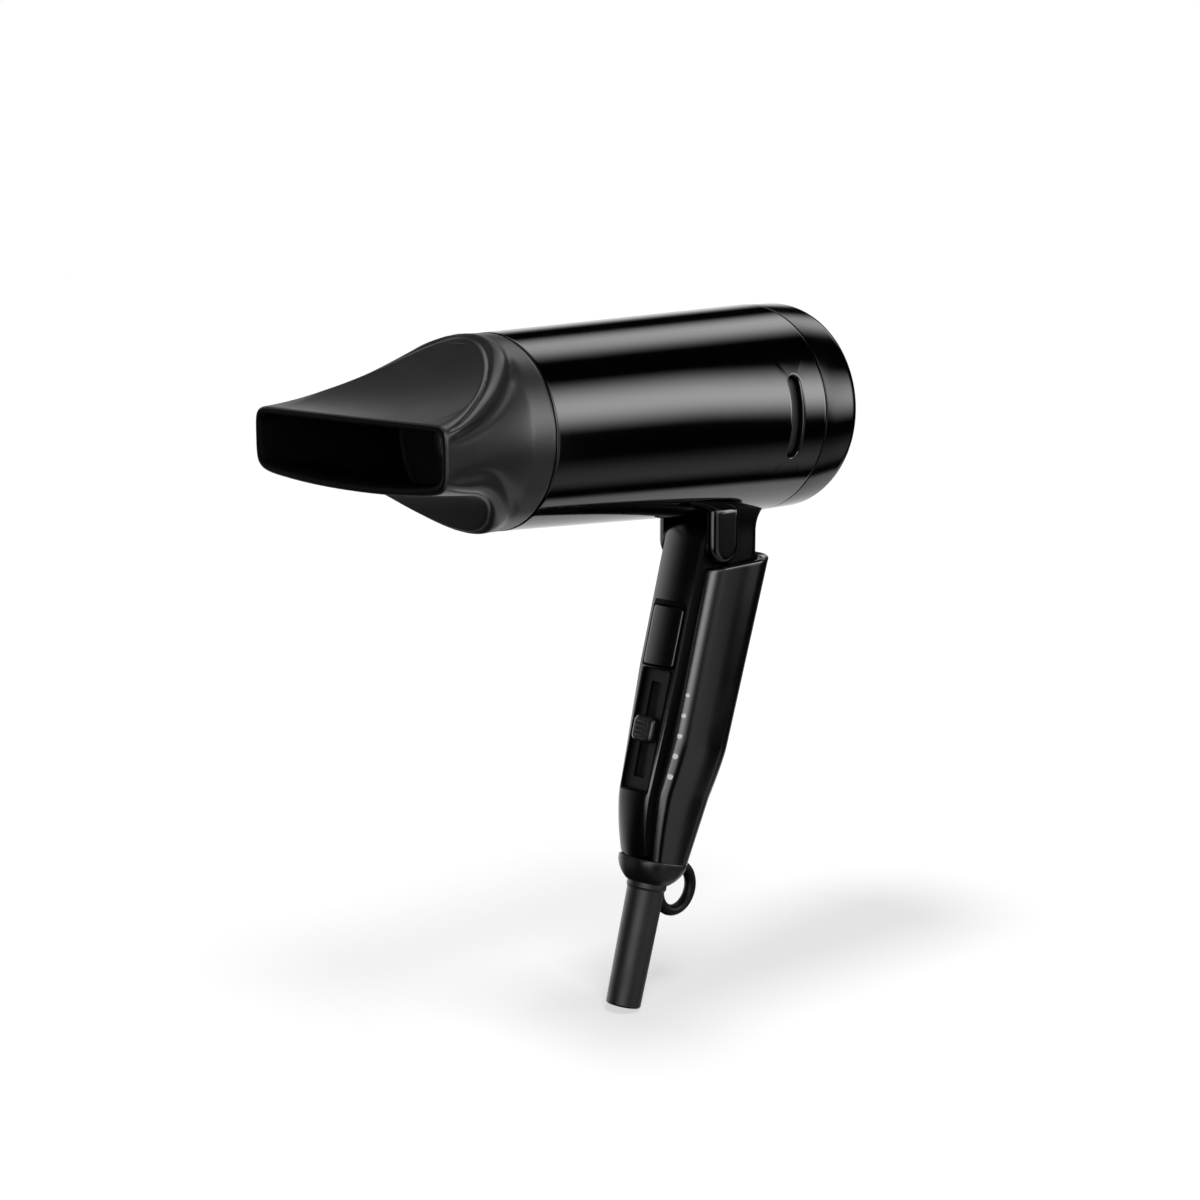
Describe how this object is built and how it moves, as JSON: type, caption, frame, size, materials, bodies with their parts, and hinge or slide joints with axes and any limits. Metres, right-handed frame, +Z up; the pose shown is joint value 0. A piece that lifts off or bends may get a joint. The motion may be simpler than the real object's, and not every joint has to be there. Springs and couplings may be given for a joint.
{
  "type": "travel hair dryer",
  "caption": "Folding travel hair dryer: tapered glossy barrel, wide flat concentrator nozzle, and a slim handle with a slide switch, cool-shot button, cord guard and hanging loop.",
  "frame": {"origin": "centre of the grip, on the handle's axis, where the hand holds it", "axes": "+Z up with the handle unfolded, the barrel level along X with its nozzle towards -X and its intake towards +X, +Y to the user's right-hand side seen from the intake"},
  "size_m": [0.1717, 0.08, 0.2109],
  "materials": {
    "barrel_gloss": "gloss",
    "cap_gloss": "gloss",
    "steel_mesh": "woven",
    "duct_plastic": "satin",
    "fan_plastic": "satin",
    "steel": "satin",
    "brass": "satin",
    "ferrite": "matte",
    "board": "satin",
    "component_black": "matte",
    "mica": "matte",
    "heating_wire": "oxidised",
    "aluminium": "satin",
    "ring_plastic": "satin",
    "nozzle_matte": "matte",
    "handle_gloss": "semi-gloss",
    "panel_gloss": "semi-gloss",
    "control_matte": "satin",
    "button_gloss": "semi-gloss",
    "cap_matte": "matte",
    "guard_rubber": "matte"
  },
  "bodies": {
    "handle": {"handle_shell": "handle_gloss", "front_panel": "panel_gloss", "switch_plate": "control_matte", "slide_switch": "component_black", "cool_shot_switch": "component_black", "control_board": "board", "panel_screw": "steel", "end_cap": "cap_matte", "cord_guard": "guard_rubber", "hanging_loop": "guard_rubber", "cord_clamp": "component_black"},
    "barrel": {"barrel_housing": "barrel_gloss", "rear_cap": "cap_gloss", "filter_screen": "steel_mesh", "fan_duct": "duct_plastic", "motor_can": "steel", "motor_end_cap": "duct_plastic", "rear_bush": "brass", "front_bush": "brass", "motor_magnets": "ferrite", "diode_board": "board", "rectifier_diodes": "component_black", "mica_board_upright": "mica", "mica_board_flat": "mica", "heating_wires": "heating_wire", "mica_liner": "mica", "thermostat": "steel", "thermal_fuse": "aluminium", "hinge_pin": "steel", "hinge_washers": "steel"},
    "fan": {"motor_armature": "steel", "impeller": "fan_plastic"},
    "outlet": {"outlet_ring": "ring_plastic", "outlet_grille": "steel"},
    "nozzle": {"nozzle": "nozzle_matte"},
    "knob": {"slide_knob": "control_matte"},
    "cool_shot": {"cool_shot_button": "button_gloss"}
  },
  "joints": [
    {"name": "fold_hinge", "type": "hinge", "parent": "handle", "child": "barrel", "pos_m": [0.0082, 0, 0.05504], "axis": [0, -1, 0], "range_deg": [0, 75]},
    {"name": "fan_spin", "type": "hinge", "parent": "barrel", "child": "fan", "pos_m": [0, 0, 0.09403], "axis": [1, 0, 0], "continuous": true},
    {"name": "nozzle_turn", "type": "hinge", "parent": "barrel", "child": "outlet", "pos_m": [-0.0755, 0, 0.09403], "axis": [1, 0, 0], "continuous": true},
    {"name": "nozzle_pull", "type": "slide", "parent": "outlet", "child": "nozzle", "axis": [-1, 0, 0], "range_m": [0, 0.014]},
    {"name": "switch_slide", "type": "slide", "parent": "handle", "child": "knob", "axis": [0.2706, 0, 0.9627], "range_m": [-0.0124, 0.0124]},
    {"name": "cool_shot_press", "type": "slide", "parent": "handle", "child": "cool_shot", "axis": [0.9627, 0, -0.2706], "range_m": [0, 0.0015], "stiffness_N_per_m": 300, "springref_m": -0.001}
  ]
}
